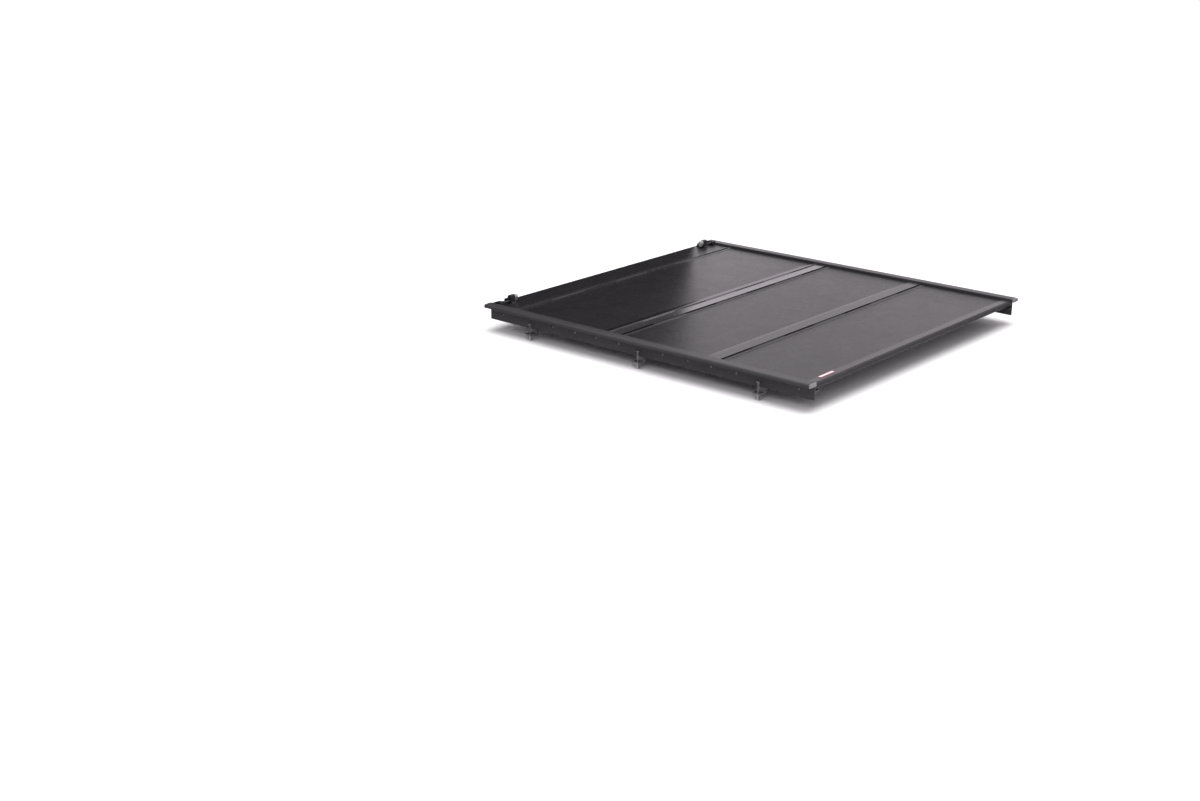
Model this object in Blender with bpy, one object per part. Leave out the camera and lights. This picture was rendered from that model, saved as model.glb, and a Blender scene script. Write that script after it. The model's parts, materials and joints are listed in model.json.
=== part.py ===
"""Hard folding tonneau cover for a pickup bed: three stiff panels and a hinge spine between two side rails.

Metres, with +X to the passenger side, +Y towards the cab and +Z up. The origin is the middle of the bed
opening, level with the top of the bed sides, which carry the rails.
"""

import math

import bmesh
import bpy
from mathutils import Vector
from mathutils.geometry import tessellate_polygon

# Whole cover
RAIL_FRONT = 0.880
RAIL_REAR = -0.880
RAIL_INNER = 0.800
RAIL_OUTER = RAIL_INNER + 0.046
PANEL_HALF = RAIL_INNER - 0.004
BAR_HALF = RAIL_INNER - 0.0055
TOP = 0.006
BOTTOM = -0.020
GAP = 0.0003

# Hinge lines, from the cab to the tailgate
FRONT_FOLD_Y = 0.725
SPINE_FRONT_Y = 0.1895
SPINE_REAR_Y = 0.125
REAR_FOLD_Y = -0.404
AXIS_Z = TOP + 0.001

# Hinge knuckles and their pins
KNUCKLES = 7
KNUCKLE_SPACE = 0.0006
BARREL_R = 0.0028
BORE_R = 0.0015
PIN_R = 0.0012
HINGE_GAP = 0.002

# Edge bars: a channel that grips the board, with flanges over and under it
FLANGE = 0.0018
WALL = 0.002
RAMP = 0.012
RAMP_DROP = 0.0012
EDGE_BAR = 0.020
SPINE_BAR = 0.033
REAR_FOLD_BAR = 0.0735
TAIL_BAR = 0.036
TAIL_Y = -0.860
SPINE_CHAMBERS = 3

# Header at the cab end
HEADER_BAR = 0.034
HEADER_STEP = 0.026
HEADER_BOTTOM = 0.001
HEADER_RIBS = (0.780, 0.828)
RIB = 0.003
BULKHEAD_SEAL = (0.846, 0.872)

# Side rails and the ledges that the panels close on
RAIL_TOP = 0.016
WEB = 0.003
WEB_BOTTOM = -0.060
RAIL_WALL = 0.0025
CAP_LENGTH = 0.0057
LEDGE_INNER = RAIL_INNER - 0.028
LEDGE_TOP = -0.024
LEDGE_BOTTOM = -0.027
LEDGE_ENDS = (-0.873, 0.873)
SEAL = (RAIL_INNER - 0.025, RAIL_INNER - 0.003)

# Clamps that hold the rails to the bed sides
CLAMP_Y = (-0.62, 0.0, 0.62)
CLAMP_WIDTH = 0.036
CLAMP_BACK = RAIL_INNER - 0.010
CLAMP_REACH = RAIL_INNER + 0.037
CLAMP_ARM = (-0.086, -0.077)
CLAMP_BOLT_X = RAIL_INNER + 0.023
PAD_TOP = -0.030
BOLT_R = 0.004

# Header locks, one at each front corner
LOCK_Y = 0.834
LOCK_Z = 0.0165
LOCK_BODY = (RAIL_INNER - 0.098, RAIL_INNER - 0.070)
LOCK_TOP = 0.042
LOCK_FOOT = (0.812, 0.874)
PLUNGER_R = 0.004
PLUNGER_TIP = RAIL_INNER - 0.0095
KNOB = (RAIL_INNER - 0.117, RAIL_INNER - 0.0985)
KNOB_Z = 0.030
KNOB_R = 0.0112
KEEPER = (RAIL_INNER - 0.024, RAIL_INNER - GAP)
KEEPER_Y = (0.821, 0.874)
KEEPER_TOP = 0.0245

# Prop rods under the front panel
PROP_X = RAIL_INNER - 0.044
PROP_Y = FRONT_FOLD_Y - 0.150
PROP_Z = -0.032
PROP_LENGTH = 0.355
PROP_R = 0.003
PROP_HOOK = PROP_X + 0.0135
PROP_REST_Y = FRONT_FOLD_Y - 0.3451
PROP_REST_X = (PROP_X + 0.0045, PROP_X + 0.0157)

# Turn latches under the middle panel
TURN_X = RAIL_INNER - 0.074
TURN_Y = -0.150
TURN_BLADE = 0.062
TURN_GRIP = 0.036

# Slam latches under the rear panel, joined by one release cable
SLAM_Y = TAIL_Y + 0.053
SLAM_Z = -0.034
SLAM_BODY = (RAIL_INNER - 0.104, RAIL_INNER - 0.036)
SLAM_R = 0.005
SLAM_TIP = RAIL_INNER - 0.031
CABLE_R = 0.003

# Blank badge on the rear panel's left corner
BADGE_CENTRE = (0.131 - PANEL_HALF, TAIL_Y + 0.0265)
BADGE_SIZE = (0.104, 0.018)

SIDES = {"left": -1, "right": 1}


def rounded(corners, steps=4):
    """Outline through (a, b, radius) corners, each turned with an arc of its radius."""
    points = []
    count = len(corners)
    for i, (a, b, radius) in enumerate(corners):
        here = Vector((a, b))
        if radius <= 0:
            points.append((a, b))
            continue
        to_last = (Vector(corners[i - 1][:2]) - here).normalized()
        to_next = (Vector(corners[(i + 1) % count][:2]) - here).normalized()
        half = to_last.angle(to_next) / 2
        centre = here + (to_last + to_next).normalized() * radius / math.sin(half)
        start = here + to_last * radius / math.tan(half) - centre
        end = here + to_next * radius / math.tan(half) - centre
        sweep = math.atan2(start.x * end.y - start.y * end.x, start.dot(end))
        for k in range(steps + 1):
            turn = sweep * k / steps
            points.append((
                centre.x + start.x * math.cos(turn) - start.y * math.sin(turn),
                centre.y + start.x * math.sin(turn) + start.y * math.cos(turn),
            ))
    return points


def box(low_a, high_a, low_b, high_b, radius=0.0):
    """Corners of a rectangle, all of one radius."""
    return rounded([
        (low_a, low_b, radius),
        (high_a, low_b, radius),
        (high_a, high_b, radius),
        (low_a, high_b, radius),
    ])


def circle(centre_a, centre_b, radius, sides):
    """Points around a circle."""
    turns = [2 * math.pi * k / sides for k in range(sides)]
    return [(centre_a + radius * math.cos(t), centre_b + radius * math.sin(t)) for t in turns]


def tapered_outline(large, large_radius, small, small_radius, sides=9):
    """Outline around a large circle and a smaller one straight below it."""
    lean = math.acos(max(-1.0, min(1.0, (large_radius - small_radius) / (large[1] - small[1]))))
    points = []
    for i in range(sides + 1):
        angle = -math.pi / 2 + lean + (2 * math.pi - 2 * lean) * i / sides
        points.append((large[0] + large_radius * math.cos(angle), large[1] + large_radius * math.sin(angle)))
    for i in range(sides // 2 + 1):
        angle = -math.pi / 2 - lean + 2 * lean * i / (sides // 2)
        points.append((small[0] + small_radius * math.cos(angle), small[1] + small_radius * math.sin(angle)))
    return points


def on_axis(axis, a, b, along):
    """Point with a and b across an axis and a distance along it."""
    return {"X": (along, a, b), "Y": (a, along, b), "Z": (a, b, along)}[axis]


def finished(bm, name="solid"):
    """Mesh of a closed bmesh, with its faces pointing out and its round faces smooth."""
    bmesh.ops.recalc_face_normals(bm, faces=bm.faces)
    mesh = bpy.data.meshes.new(name)
    bm.to_mesh(mesh)
    bm.free()
    mesh.shade_smooth()
    mesh.set_sharp_from_angle(angle=math.radians(35))
    return mesh


def prism(outline, axis, low, high, holes=()):
    """Mesh of an outline, with any holes in it, pushed along an axis from low to high."""
    bm = bmesh.new()
    loops = [list(outline)] + [list(hole) for hole in holes]
    ends = []
    for along in (low, high):
        ends.append([[bm.verts.new(on_axis(axis, a, b, along)) for a, b in loop] for loop in loops])
    for low_loop, high_loop in zip(*ends):
        for i in range(len(low_loop)):
            j = (i + 1) % len(low_loop)
            bm.faces.new((low_loop[i], low_loop[j], high_loop[j], high_loop[i]))
    flat = [[Vector((a, b, 0)) for a, b in loop] for loop in loops]
    triangles = tessellate_polygon(flat) if holes else [range(len(outline))]
    for end in ends:
        verts = [v for loop in end for v in loop]
        for triangle in triangles:
            bm.faces.new([verts[i] for i in triangle])
    return finished(bm)


def layered(outline, axis, layers):
    """Mesh through (distance along the axis, scale) layers of one outline, scaled about its middle."""
    middle_a = sum(a for a, b in outline) / len(outline)
    middle_b = sum(b for a, b in outline) / len(outline)
    bm = bmesh.new()
    rings = []
    for along, scale in layers:
        points = [(middle_a + (a - middle_a) * scale, middle_b + (b - middle_b) * scale) for a, b in outline]
        rings.append([bm.verts.new(on_axis(axis, a, b, along)) for a, b in points])
    for ring, following in zip(rings, rings[1:]):
        for i in range(len(ring)):
            j = (i + 1) % len(ring)
            bm.faces.new((ring[i], ring[j], following[j], following[i]))
    bm.faces.new(rings[0])
    bm.faces.new(rings[-1])
    return finished(bm)


def turned(profile, axis, centre=(0.0, 0.0), sides=20):
    """Mesh of (radius, distance along the axis) pairs turned about an axis through centre."""
    bm = bmesh.new()
    rings = []
    for radius, along in profile:
        ring = circle(centre[0], centre[1], radius, sides)
        rings.append([bm.verts.new(on_axis(axis, a, b, along)) for a, b in ring])
    for ring, following in zip(rings, rings[1:]):
        for i in range(sides):
            j = (i + 1) % sides
            bm.faces.new((ring[i], ring[j], following[j], following[i]))
    bm.faces.new(rings[0])
    bm.faces.new(rings[-1])
    return finished(bm)


def joined(meshes):
    """One mesh that holds several."""
    bm = bmesh.new()
    for mesh in meshes:
        bm.from_mesh(mesh)
    return finished(bm)


def combined(operation, first, second):
    """Mesh left by a Boolean of two closed meshes."""
    holder = bpy.data.objects.new("holder", first)
    tool = bpy.data.objects.new("tool", second)
    for piece in (holder, tool):
        bpy.context.scene.collection.objects.link(piece)
    step = holder.modifiers.new("combine", "BOOLEAN")
    step.operation = operation
    step.object = tool
    bpy.context.view_layer.update()
    evaluated = holder.evaluated_get(bpy.context.evaluated_depsgraph_get())
    mesh = bpy.data.meshes.new_from_object(evaluated)
    for piece in (holder, tool):
        bpy.data.objects.remove(piece)
    mesh.shade_smooth()
    mesh.set_sharp_from_angle(angle=math.radians(35))
    return mesh


def tube(name, points, radius, resolution=3):
    """Curve object along the points, with a round section and closed ends."""
    curve = bpy.data.curves.new(name, "CURVE")
    curve.dimensions = "3D"
    curve.bevel_depth = radius
    curve.bevel_resolution = resolution
    curve.use_fill_caps = True
    spline = curve.splines.new("POLY")
    spline.points.add(len(points) - 1)
    for spot, point in zip(spline.points, points):
        spot.co = (*point, 1.0)
    return bpy.data.objects.new(name, curve)


def tube_mesh(points, radius):
    """Mesh of a tube along the points."""
    holder = tube("tube", points, radius)
    bpy.context.scene.collection.objects.link(holder)
    bpy.context.view_layer.update()
    evaluated = holder.evaluated_get(bpy.context.evaluated_depsgraph_get())
    mesh = bpy.data.meshes.new_from_object(evaluated)
    bpy.data.objects.remove(holder)
    return mesh


def material(name, colour, roughness, metallic):
    """Plain Principled material."""
    made = bpy.data.materials.new(name)
    made.use_nodes = True
    shader = made.node_tree.nodes["Principled BSDF"]
    shader.inputs["Base Color"].default_value = (*colour, 1.0)
    shader.inputs["Roughness"].default_value = roughness
    shader.inputs["Metallic"].default_value = metallic
    return made


def make_materials():
    """Every finish on the cover."""
    return {
        "panel_skin": material("panel_skin", (0.085, 0.085, 0.092), 0.42, 0.2),
        "bar_alloy": material("bar_alloy", (0.15, 0.148, 0.155), 0.34, 0.6),
        "rail_alloy": material("rail_alloy", (0.17, 0.17, 0.175), 0.38, 0.5),
        "rubber": material("rubber", (0.018, 0.018, 0.02), 0.75, 0.0),
        "steel": material("steel", (0.45, 0.45, 0.46), 0.3, 1.0),
        "cast_alloy": material("cast_alloy", (0.32, 0.32, 0.33), 0.5, 0.8),
        "black_plastic": material("black_plastic", (0.022, 0.022, 0.024), 0.5, 0.0),
        "grey_plastic": material("grey_plastic", (0.42, 0.42, 0.44), 0.45, 0.0),
        "badge": material("badge", (0.33, 0.05, 0.06), 0.3, 0.0),
    }


def axis_empty(name, place_at, parent=None):
    """Empty on a joint's axis, which carries the pieces that move with it."""
    empty = bpy.data.objects.new(name, None)
    bpy.context.scene.collection.objects.link(empty)
    empty.parent = parent
    empty["world"] = place_at
    start = parent["world"] if parent else (0.0, 0.0, 0.0)
    empty.location = [here - there for here, there in zip(place_at, start)]
    return empty


def place(name, mesh, finish, parent=None, at=(0.0, 0.0, 0.0)):
    """Named piece with its own material, at a place in the cover's frame."""
    mesh.name = name
    mesh.materials.clear()
    mesh.materials.append(finish)
    return place_object(bpy.data.objects.new(name, mesh), parent, at)


def place_object(piece, parent=None, at=(0.0, 0.0, 0.0)):
    """Piece put in the scene at a place in the cover's frame."""
    bpy.context.scene.collection.objects.link(piece)
    piece.parent = parent
    start = parent["world"] if parent else (0.0, 0.0, 0.0)
    piece.location = [here - there for here, there in zip(at, start)]
    return piece


def beside(hinge_y, direction, points):
    """Points given as distance from a hinge line and height, turned into Y and Z."""
    return [(hinge_y + direction * away, height) for away, height in points]


def knuckle_meshes(hinge_y, direction, first):
    """Knuckles of one bar, every second one along the hinge line, starting at the first given."""
    arc = [math.radians(45 + 22.5 * k) for k in range(12)]
    barrel = [(BARREL_R * math.cos(t), AXIS_Z + BARREL_R * math.sin(t)) for t in arc]
    root = [(0.0026, TOP - 0.0035), (0.0060, TOP - 0.0035), (0.0060, TOP - 0.0003)]
    outline = beside(hinge_y, direction, barrel + root)
    bore = circle(hinge_y, AXIS_Z, BORE_R, 12)
    pitch = 2 * BAR_HALF / KNUCKLES
    meshes = []
    for k in range(first, KNUCKLES, 2):
        start = -BAR_HALF + k * pitch + KNUCKLE_SPACE / 2
        meshes.append(prism(outline, "X", start, start + pitch - KNUCKLE_SPACE, [bore]))
    return meshes


def chambers(first, last, count):
    """Hollow chambers side by side, as (near, far) distances with a wall between each."""
    width = (last - first - WALL * (count - 1)) / count
    return [(first + k * (width + WALL), first + k * (width + WALL) + width) for k in range(count)]


def hinge_bar_mesh(hinge_y, direction, width, slot, first, chamber_count=1):
    """Edge bar beside a hinge line: chambers, then a slot for the board from slot to width, and knuckles."""
    outer = [
        (HINGE_GAP, BOTTOM),
        (width, BOTTOM),
        (width, BOTTOM + FLANGE),
        (slot, BOTTOM + FLANGE),
        (slot, TOP - FLANGE),
        (width, TOP - FLANGE),
        (width, TOP - RAMP_DROP),
        (width - RAMP, TOP),
        (0.0036, TOP),
        (HINGE_GAP, TOP - 0.002),
    ]
    holes = []
    for near, far in chambers(HINGE_GAP + WALL, slot - WALL, chamber_count):
        hole = [(near, BOTTOM + WALL), (far, BOTTOM + WALL), (far, TOP - 0.003), (near, TOP - 0.003)]
        holes.append(beside(hinge_y, direction, hole))
    channel = prism(beside(hinge_y, direction, outer), "X", -BAR_HALF, BAR_HALF, holes)
    return combined("UNION", channel, joined(knuckle_meshes(hinge_y, direction, first)))


def board_mesh(low_y, high_y):
    """Board of one panel, between the slots of its two bars."""
    outline = box(low_y + GAP, high_y - GAP, BOTTOM + FLANGE + GAP, TOP - FLANGE - GAP)
    return prism(outline, "X", -BAR_HALF, BAR_HALF)


def make_panel(name, finishes, parent, front_hinge, rear_hinge, rear_width, rear_slot, rear_chambers):
    """Board of one panel with its front bar and its rear bar; the last panel ends in the tail bar."""
    edge_slot = EDGE_BAR * 0.5
    front_bar = hinge_bar_mesh(front_hinge, -1, EDGE_BAR, edge_slot, 1)
    place(f"{name}_front_bar", front_bar, finishes["bar_alloy"], parent)
    board_front = front_hinge - edge_slot
    if rear_hinge is None:
        board_rear = TAIL_Y + rear_slot
        rear_bar = tail_bar_mesh(rear_slot)
    else:
        board_rear = rear_hinge + rear_slot
        rear_bar = hinge_bar_mesh(rear_hinge, 1, rear_width, rear_slot, 0, rear_chambers)
    place(f"{name}_rear_bar", rear_bar, finishes["bar_alloy"], parent)
    place(f"{name}_board", board_mesh(board_rear, board_front), finishes["panel_skin"], parent)


def tail_bar_mesh(slot):
    """Bar at the tailgate end, with a rounded nose and the board's slot on its front side."""
    outline = rounded([
        (TAIL_Y, BOTTOM, 0.003),
        (TAIL_Y + TAIL_BAR, BOTTOM, 0),
        (TAIL_Y + TAIL_BAR, BOTTOM + FLANGE, 0),
        (TAIL_Y + slot, BOTTOM + FLANGE, 0),
        (TAIL_Y + slot, TOP - FLANGE, 0),
        (TAIL_Y + TAIL_BAR, TOP - FLANGE, 0),
        (TAIL_Y + TAIL_BAR, TOP, 0),
        (TAIL_Y, TOP, 0.005),
    ])
    hole = box(TAIL_Y + WALL, TAIL_Y + slot - WALL, BOTTOM + WALL, TOP - WALL, 0.001)
    return prism(outline, "X", -BAR_HALF, BAR_HALF, [hole])


def spine_mesh():
    """Spine between the front and middle panels, with knuckles along both its long edges."""
    front = SPINE_FRONT_Y - HINGE_GAP
    rear = SPINE_REAR_Y + HINGE_GAP
    chamfer = 0.0036 - HINGE_GAP
    outline = [
        (rear, BOTTOM),
        (front, BOTTOM),
        (front, TOP - 0.002),
        (front - chamfer, TOP),
        (rear + chamfer, TOP),
        (rear, TOP - 0.002),
    ]
    holes = [
        box(near, far, BOTTOM + WALL, TOP - 0.003)
        for near, far in chambers(rear + WALL, front - WALL, SPINE_CHAMBERS)
    ]
    core = prism(outline, "X", -BAR_HALF, BAR_HALF, holes)
    knuckles = knuckle_meshes(SPINE_FRONT_Y, -1, 1) + knuckle_meshes(SPINE_REAR_Y, 1, 0)
    return combined("UNION", core, joined(knuckles))


def pin_mesh(hinge_y):
    """Hinge pin through all the knuckles of one hinge line."""
    end = BAR_HALF - 0.0005
    profile = [(PIN_R - 0.0003, -end), (PIN_R, -end + 0.001), (PIN_R, end - 0.001), (PIN_R - 0.0003, end)]
    return turned(profile, "X", (hinge_y, AXIS_Z), 12)


def make_header(finishes):
    """Fixed header at the cab end: hinge bar, plate with two stiffening ribs, and the seal under it."""
    edge = FRONT_FOLD_Y + HEADER_BAR
    step = FRONT_FOLD_Y + HEADER_STEP
    near = FRONT_FOLD_Y + HINGE_GAP
    outline = [
        (near, BOTTOM),
        (edge, BOTTOM),
        (edge, HEADER_BOTTOM - GAP),
        (step, HEADER_BOTTOM - GAP),
        (step, TOP - 0.0005),
        (step - 0.0005, TOP),
        (FRONT_FOLD_Y + 0.0036, TOP),
        (near, TOP - 0.002),
    ]
    hole = box(near + WALL, step - WALL, BOTTOM + WALL, HEADER_BOTTOM - 0.003)
    core = prism(outline, "X", -BAR_HALF, BAR_HALF, [hole])
    bar = combined("UNION", core, joined(knuckle_meshes(FRONT_FOLD_Y, 1, 0)))
    place("header_hinge_bar", bar, finishes["bar_alloy"])

    rear = step + GAP
    lower = [(rear, HEADER_BOTTOM, 0)]
    for rib_y in HEADER_RIBS:
        lower += [
            (rib_y, HEADER_BOTTOM, 0),
            (rib_y, -0.012, 0.0008),
            (rib_y + RIB, -0.012, 0.0008),
            (rib_y + RIB, HEADER_BOTTOM, 0),
        ]
    upper = [(RAIL_FRONT, HEADER_BOTTOM, 0.0015), (RAIL_FRONT, TOP, 0.003), (rear, TOP, 0.0006)]
    plate = prism(rounded(lower + upper), "X", -PANEL_HALF, PANEL_HALF)
    place("header_plate", plate, finishes["panel_skin"])

    half = PANEL_HALF - 0.005
    strip = prism(box(*BULKHEAD_SEAL, -0.0035, HEADER_BOTTOM - GAP, 0.001), "X", -half, half)
    place("bulkhead_seal", strip, finishes["rubber"])


def make_rail(side_name, side, finishes):
    """Side rail with its web, the ledge and seal that the panels close on, and the cap on its rear end."""
    crown = [(RAIL_OUTER, 0.0, 0.001), (RAIL_OUTER, RAIL_TOP, 0.007), (RAIL_INNER, RAIL_TOP, 0.003)]
    web = [(RAIL_INNER, WEB_BOTTOM, 0), (RAIL_INNER + WEB, WEB_BOTTOM, 0), (RAIL_INNER + WEB, 0.0, 0)]
    outline = rounded([(side * x, z, r) for x, z, r in web + crown])
    chamber = rounded([
        (side * (RAIL_INNER + RAIL_WALL), RAIL_WALL, 0.001),
        (side * (RAIL_OUTER - RAIL_WALL), RAIL_WALL, 0.001),
        (side * (RAIL_OUTER - RAIL_WALL), RAIL_TOP - RAIL_WALL, 0.005),
        (side * (RAIL_INNER + RAIL_WALL), RAIL_TOP - RAIL_WALL, 0.001),
    ])
    rear = RAIL_REAR + CAP_LENGTH + GAP
    place(f"{side_name}_rail", prism(outline, "Y", rear, RAIL_FRONT, [chamber]), finishes["rail_alloy"])

    cap_outline = rounded([(side * x, z, r) for x, z, r in [(RAIL_INNER, 0.0, 0.001)] + crown])
    cap_layers = ((RAIL_REAR, 0.84), (RAIL_REAR + 0.0008, 0.93), (RAIL_REAR + 0.0025, 1.0), (rear - GAP, 1.0))
    place(f"{side_name}_end_cap", layered(cap_outline, "Y", cap_layers), finishes["grey_plastic"])

    outer = RAIL_INNER - GAP
    ledge = prism(
        rounded([(side * x, z, r) for x, z, r in [
            (LEDGE_INNER, LEDGE_BOTTOM, 0.001),
            (outer, LEDGE_BOTTOM, 0),
            (outer, LEDGE_TOP, 0),
            (LEDGE_INNER, LEDGE_TOP, 0.001),
        ]]),
        "Y",
        *LEDGE_ENDS,
    )
    place(f"{side_name}_ledge", ledge, finishes["rail_alloy"])

    low = LEDGE_TOP + GAP
    high = BOTTOM - GAP
    seal_outline = rounded([(side * x, z, r) for x, z, r in [
        (SEAL[0], low, 0),
        (SEAL[1], low, 0),
        (SEAL[1], high, 0.001),
        (SEAL[1] - 0.007, high, 0.001),
        (SEAL[1] - 0.011, low + 0.0015, 0.001),
        (SEAL[0] + 0.007, high, 0.001),
        (SEAL[0], high, 0.001),
    ]])
    place(f"{side_name}_seal", prism(seal_outline, "Y", *LEDGE_ENDS), finishes["rubber"])


def make_clamps(side_name, side, finishes):
    """Clamps under one rail: a hooked body and an upright bolt whose pad presses up at the bed side."""
    inner = RAIL_INNER - GAP
    outline = rounded([(side * x, z, r) for x, z, r in [
        (CLAMP_BACK, LEDGE_BOTTOM - GAP, 0.001),
        (inner, LEDGE_BOTTOM - GAP, 0),
        (inner, CLAMP_ARM[1], 0.003),
        (CLAMP_REACH, CLAMP_ARM[1], 0.002),
        (CLAMP_REACH, CLAMP_ARM[0], 0.004),
        (CLAMP_BACK, CLAMP_ARM[0], 0.006),
    ]])
    blank = prism(outline, "Y", -CLAMP_WIDTH / 2, CLAMP_WIDTH / 2)
    bolt_centre = (side * CLAMP_BOLT_X, 0.0)
    drill = turned([(BOLT_R + 0.0004, -0.100), (BOLT_R + 0.0004, -0.070)], "Z", bolt_centre, 16)
    body = combined("DIFFERENCE", blank, drill)
    shaft = turned(
        [
            (BOLT_R, -0.100),
            (BOLT_R, PAD_TOP - 0.007),
            (0.0060, PAD_TOP - 0.0045),
            (0.0085, PAD_TOP - 0.0035),
            (0.0090, PAD_TOP - 0.001),
            (0.0082, PAD_TOP),
        ],
        "Z",
        bolt_centre,
        16,
    )
    head = prism(circle(*bolt_centre, 0.0075, 6), "Z", -0.106, -0.099)
    bolt = combined("UNION", shaft, head)
    for place_name, y in zip(("rear", "middle", "front"), CLAMP_Y):
        place(f"{side_name}_clamp_{place_name}", body, finishes["cast_alloy"], at=(0, y, 0))
        place(f"{side_name}_clamp_bolt_{place_name}", bolt, finishes["steel"], at=(0, y, 0))


def make_header_lock(side_name, side, finishes):
    """Lock at one end of the header: block, sprung plunger with a pull knob, and a low keeper by the rail."""
    base_top = TOP + 0.0028
    foot = prism(box(*LOCK_FOOT, TOP + GAP, base_top, 0.001), "X", *sorted(
        (side * (LOCK_BODY[0] + 0.0006), side * (LOCK_BODY[1] + 0.004))
    ))
    body_outline = rounded([
        (LOCK_Y - 0.011, base_top - 0.001, 0),
        (LOCK_FOOT[1] - 0.006, base_top - 0.001, 0),
        (LOCK_FOOT[1] - 0.008, LOCK_Z + 0.006, 0.004),
        (LOCK_Y + 0.013, LOCK_Z + 0.008, 0.004),
        (LOCK_Y + 0.010, LOCK_TOP, 0.006),
        (LOCK_Y - 0.0095, LOCK_TOP, 0.006),
    ])
    body = prism(body_outline, "X", *sorted((side * LOCK_BODY[0], side * LOCK_BODY[1])))
    through = [(PLUNGER_R + 0.0004, side * x) for x in (LOCK_BODY[0] - 0.05, LOCK_BODY[1] + 0.05)]
    bore = turned(through, "X", (LOCK_Y, LOCK_Z))
    lock = combined("DIFFERENCE", combined("UNION", body, foot), bore)
    place(f"{side_name}_lock_body", lock, finishes["black_plastic"])

    plunger_axis = axis_empty(f"{side_name}_lock_axis", (side * KNOB[0], LOCK_Y, LOCK_Z))
    knob_outline = tapered_outline((LOCK_Y, KNOB_Z), KNOB_R, (LOCK_Y, LOCK_Z), PLUNGER_R + 0.002)
    knob = layered(knob_outline, "X", [
        (side * KNOB[0], 0.80),
        (side * (KNOB[0] + 0.0012), 0.93),
        (side * (KNOB[0] + 0.0035), 1.0),
        (side * (KNOB[1] - 0.0025), 1.0),
        (side * KNOB[1], 0.90),
    ])
    rod = turned([(r, side * x) for r, x in [
        (PLUNGER_R, KNOB[1] - 0.006),
        (PLUNGER_R, PLUNGER_TIP - 0.002),
        (PLUNGER_R - 0.0015, PLUNGER_TIP),
    ]], "X", (LOCK_Y, LOCK_Z))
    place(f"{side_name}_lock_plunger", combined("UNION", knob, rod), finishes["grey_plastic"], plunger_axis)

    keeper_outline = rounded([
        (KEEPER_Y[0], TOP + GAP, 0.001),
        (KEEPER_Y[1], TOP + GAP, 0.001),
        (KEEPER_Y[1] - 0.004, KEEPER_TOP - 0.008, 0.004),
        (LOCK_Y + 0.014, KEEPER_TOP, 0.004),
        (KEEPER_Y[0] + 0.002, KEEPER_TOP, 0.004),
    ])
    keeper_bore = circle(LOCK_Y, LOCK_Z, PLUNGER_R + 0.0006, 16)
    keeper = prism(keeper_outline, "X", *sorted((side * KEEPER[0], side * KEEPER[1])), [keeper_bore])
    place(f"{side_name}_lock_keeper", keeper, finishes["black_plastic"])


def make_prop(side_name, side, finishes, panel):
    """Prop rod stored under the front panel, its pivot bracket, and the rest it drops into on the ledge."""
    stud_r = 0.0026
    block = prism(
        rounded([
            (PROP_Y - 0.014, BOTTOM - GAP, 0.001),
            (PROP_Y + 0.014, BOTTOM - GAP, 0.001),
            (PROP_Y + 0.007, PROP_Z - 0.007, 0.005),
            (PROP_Y - 0.007, PROP_Z - 0.007, 0.005),
        ]),
        "X",
        *sorted((side * (PROP_X - 0.014), side * (PROP_X - PROP_R - 0.0008))),
    )
    stud = turned(
        [(r, side * x) for r, x in [
            (stud_r, PROP_X - 0.010),
            (stud_r, PROP_X + PROP_R + 0.0008),
            (0.0048, PROP_X + PROP_R + 0.0009),
            (0.0048, PROP_X + PROP_R + 0.0022),
            (0.0035, PROP_X + PROP_R + 0.0030),
        ]],
        "X",
        (PROP_Y, PROP_Z),
        16,
    )
    bracket = combined("UNION", block, stud)
    place(f"{side_name}_prop_bracket", bracket, finishes["steel"], panel)

    pivot = axis_empty(f"{side_name}_prop_axis", (side * PROP_X, PROP_Y, PROP_Z), panel)
    bend = 0.006
    tip_y = PROP_Y - PROP_LENGTH
    route = [(side * PROP_X, PROP_Y - 0.0042, PROP_Z), (side * PROP_X, tip_y + 2 * bend, PROP_Z)]
    for k in range(5):
        turn = math.radians(22.5 * k)
        route.append((
            side * (PROP_X + bend * (1 - math.cos(turn))),
            tip_y + bend * (1 - math.sin(turn)),
            PROP_Z,
        ))
    route.append((side * PROP_HOOK, tip_y, PROP_Z))
    eye = prism(
        circle(PROP_Y, PROP_Z, 0.0065, 20),
        "X",
        side * (PROP_X - PROP_R),
        side * (PROP_X + PROP_R),
        [circle(PROP_Y, PROP_Z, stud_r + 0.0004, 16)],
    )
    rod = combined("UNION", eye, tube_mesh(route, PROP_R - 0.0001))
    place(f"{side_name}_prop_rod", rod, finishes["steel"], pivot)

    notch = PROP_R + 0.0003
    seat = -0.0229
    left_of = [(PROP_REST_Y - 0.014, -0.038), (PROP_REST_Y + 0.014, -0.038)]
    arc = [math.radians(-180 * k / 8) for k in range(9)]
    cup = [(PROP_REST_Y + notch * math.cos(t), seat + notch * math.sin(t)) for t in arc]
    rim = -0.0215
    outline = left_of + [(PROP_REST_Y + 0.014, rim), (PROP_REST_Y + notch, rim)]
    outline += cup + [(PROP_REST_Y - notch, rim), (PROP_REST_Y - 0.014, rim)]
    rest = prism(outline, "X", *sorted((side * PROP_REST_X[0], side * PROP_REST_X[1])))
    place(f"{side_name}_prop_rest", rest, finishes["cast_alloy"])


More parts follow.
